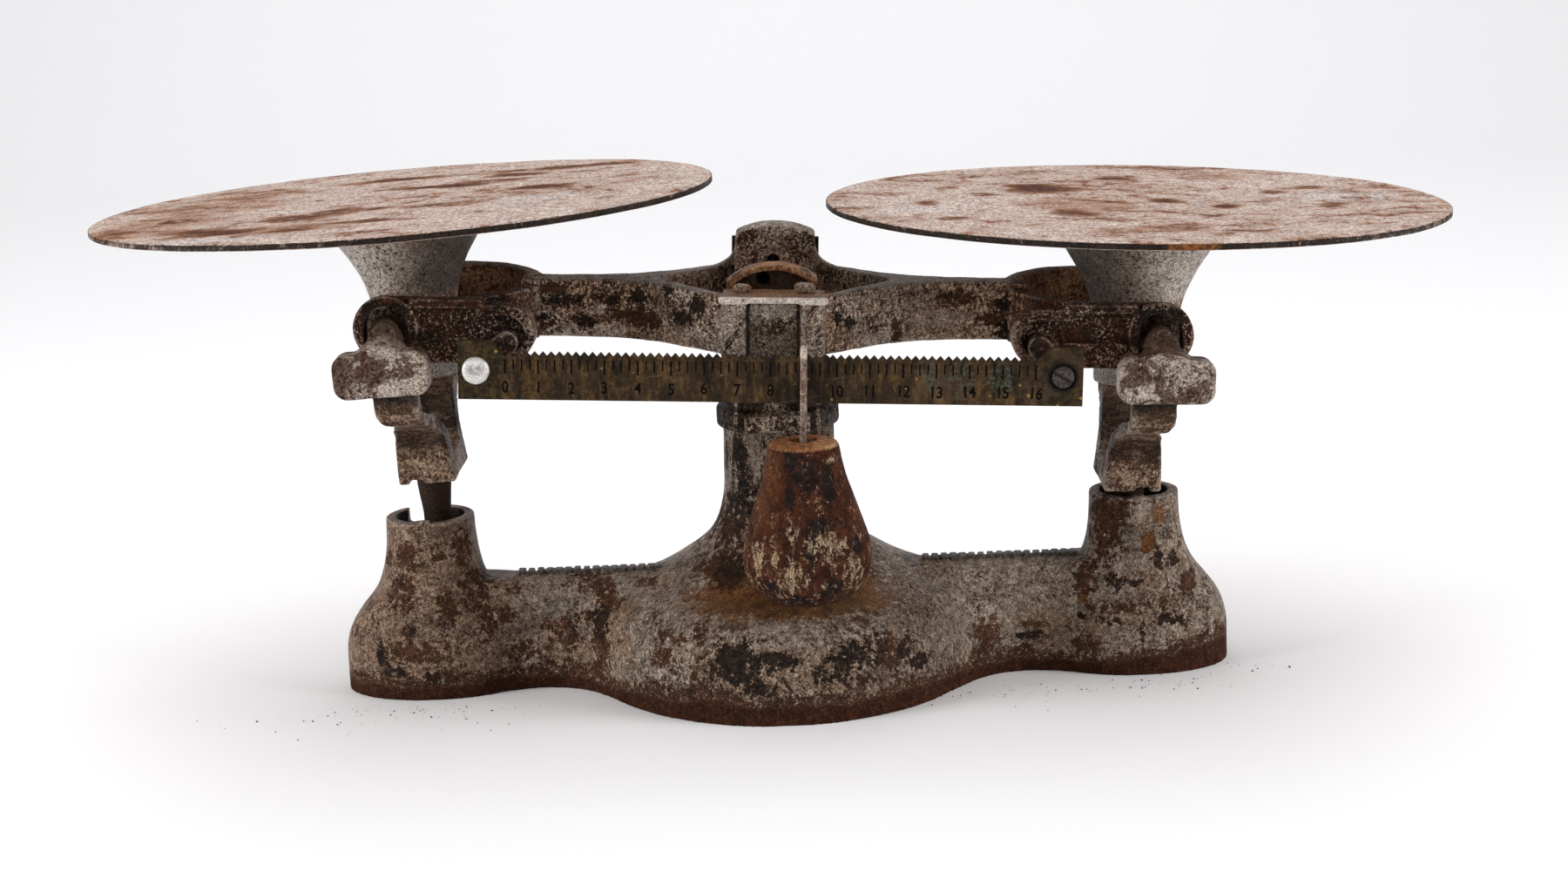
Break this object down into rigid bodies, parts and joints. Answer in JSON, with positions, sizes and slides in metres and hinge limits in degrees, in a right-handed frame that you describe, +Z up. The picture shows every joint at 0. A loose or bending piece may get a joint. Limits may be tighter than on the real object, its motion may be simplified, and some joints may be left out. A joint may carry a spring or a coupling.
{
  "type": "even balance scale",
  "caption": "Cast-iron even-balance counter scale: hollow base with a column, rocking beam on knife edges, flat plates on linked carriers, and a notched brass beam with a hanging pear poise.",
  "frame": {"origin": "middle of the base outline on the surface it stands on", "axes": "+X from the left plate to the right plate, -Y towards the graduated beam, +Z up"},
  "size_m": [0.4981, 0.2286, 0.1908],
  "materials": {
    "worn_paint_iron": "silver-grey paint over cast iron, worn through to dark iron and brown rust",
    "plate_steel": "pale steel sheet with orange-brown rust streaks and specks",
    "tool_steel": "hardened steel, dulled",
    "dark_steel": "dark oiled steel",
    "aged_brass": "brass under a dark olive-brown patina",
    "bright_rivet": "bright dented rivet head",
    "old_screw": "old slotted screw with a worn face",
    "corroded_screw": "corroded screw heads",
    "hook_wire": "bare wire with a thin rust film",
    "rusted_iron": "deep red-brown rust with remnants of cream paint",
    "make_weight": "dull grey make-weight"
  },
  "bodies": {
    "base": {"base_casting": "worn_paint_iron", "fulcrum_head": "worn_paint_iron", "fulcrum_bearings": "tool_steel", "check_hanger": "dark_steel", "check_pivot": "tool_steel", "hanger_screws": "tool_steel"},
    "beam": {"beam_casting": "worn_paint_iron", "centre_knife": "tool_steel", "end_knives": "tool_steel", "block_screws": "corroded_screw", "rear_plate": "worn_paint_iron", "graduated_beam": "aged_brass", "standoff_left": "worn_paint_iron", "standoff_right": "worn_paint_iron", "beam_rivet_left": "bright_rivet", "beam_screw_right": "old_screw"},
    "left_carrier": {"carrier_left": "worn_paint_iron", "end_bearings_left": "tool_steel", "plate_left": "plate_steel", "plate_spigot_left": "plate_steel", "stem_left": "dark_steel", "stem_pin_left": "tool_steel"},
    "right_carrier": {"carrier_right": "worn_paint_iron", "end_bearings_right": "tool_steel", "plate_right": "plate_steel", "plate_spigot_right": "plate_steel", "stem_right": "dark_steel", "stem_pin_right": "tool_steel", "tare_slug": "make_weight"},
    "check_link": {"check_link": "dark_steel"},
    "poise_hook": {"poise_hook": "hook_wire"},
    "poise": {"poise_body": "rusted_iron", "poise_pin": "tool_steel", "poise_plug": "make_weight"}
  },
  "joints": [
    {"name": "beam_rock", "type": "hinge", "parent": "base", "child": "beam", "pos_m": [0, 0, 0.136], "axis": [0, -1, 0], "range_deg": [0, 5]},
    {"name": "left_hang", "type": "hinge", "parent": "beam", "child": "left_carrier", "pos_m": [-0.13835, 0, 0.1424], "axis": [0, -1, 0], "range_deg": [-5, 0]},
    {"name": "right_hang", "type": "hinge", "parent": "beam", "child": "right_carrier", "pos_m": [0.13835, 0, 0.1296], "axis": [0, -1, 0], "range_deg": [-5, 0]},
    {"name": "check_rock", "type": "hinge", "parent": "base", "child": "check_link", "pos_m": [0, 0, 0.02079], "axis": [0, -1, 0], "range_deg": [0, 5.38]},
    {"name": "poise_slide", "type": "slide", "parent": "beam", "child": "poise_hook", "axis": [0.9988, 0, -0.0497], "range_m": [-0.10494, 0.08162]},
    {"name": "poise_swing", "type": "hinge", "parent": "poise_hook", "child": "poise", "pos_m": [0.00942, -0.06, 0.0944], "axis": [0, 1, 0], "range_deg": [-8, 8]}
  ],
  "couplings": [
    {"joint": "left_hang", "follows": "beam_rock", "ratio": -1},
    {"joint": "right_hang", "follows": "beam_rock", "ratio": -1},
    {"joint": "check_rock", "follows": "beam_rock", "ratio": 1.0755}
  ]
}
